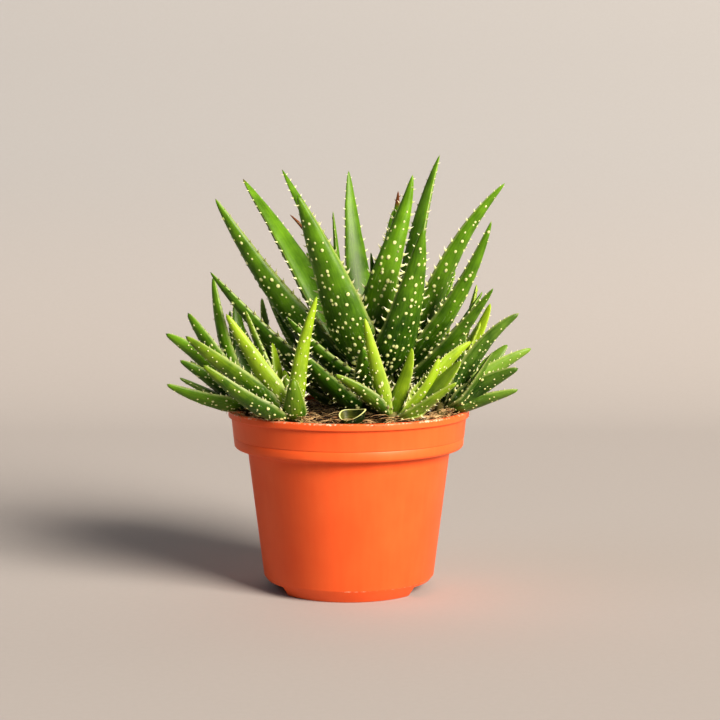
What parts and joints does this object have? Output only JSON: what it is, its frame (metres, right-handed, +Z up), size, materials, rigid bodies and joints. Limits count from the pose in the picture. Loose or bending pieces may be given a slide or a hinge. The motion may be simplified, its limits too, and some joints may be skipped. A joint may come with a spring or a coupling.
{
  "type": "potted aloe",
  "caption": "Small spiny succulent in a round tapered plastic nursery pot: a rosette of fleshy toothed leaves with young offsets around it, in fibrous potting soil.",
  "frame": {"origin": "middle of the pot's base, on the surface that the pot stands on", "axes": "+Z up along the pot's axis; -Y is the front, the side seen in the picture; +X to the right seen from the front"},
  "size_m": [0.1795, 0.1446, 0.216],
  "materials": {
    "pot_plastic": "satin, lightly scuffed",
    "potting_soil": "rough, fibrous",
    "stem_skin": "dull",
    "cut_leaf_skin": "satin",
    "main_leaf": "waxy, satin, with pale spots",
    "low_leaf": "waxy, satin, with pale spots",
    "offset_lime": "waxy, glossy",
    "offset_green": "waxy, glossy",
    "offset_grey_green": "waxy, satin"
  },
  "bodies": {
    "root": {"pot": "pot_plastic", "soil": "potting_soil", "stem": "stem_skin", "cut_leaf": "cut_leaf_skin", "leaf_01": "main_leaf", "leaf_02": "main_leaf", "leaf_03": "main_leaf", "leaf_04": "main_leaf", "leaf_05": "main_leaf", "leaf_06": "main_leaf", "leaf_07": "main_leaf", "leaf_08": "main_leaf", "leaf_09": "main_leaf", "leaf_10": "main_leaf", "leaf_11": "main_leaf", "leaf_12": "main_leaf", "leaf_13": "main_leaf", "leaf_14": "main_leaf", "leaf_15": "main_leaf", "leaf_16": "low_leaf", "leaf_17": "main_leaf", "leaf_18": "low_leaf", "leaf_19": "low_leaf", "leaf_20": "main_leaf", "leaf_21": "low_leaf", "leaf_22": "main_leaf", "leaf_23": "low_leaf", "leaf_24": "main_leaf", "leaf_25": "low_leaf", "leaf_26": "main_leaf", "leaf_27": "main_leaf", "leaf_28": "low_leaf", "leaf_29": "low_leaf", "leaf_30": "low_leaf", "leaf_31": "main_leaf", "pup_front_left": "offset_lime", "pup_left": "offset_green", "pup_front_right": "offset_lime", "pup_right": "offset_grey_green", "pup_right_back": "offset_lime", "pup_back": "offset_green", "pup_back_right": "offset_green", "pup_left_rear": "offset_grey_green", "pup_left_back": "offset_grey_green"}
  },
  "joints": []
}
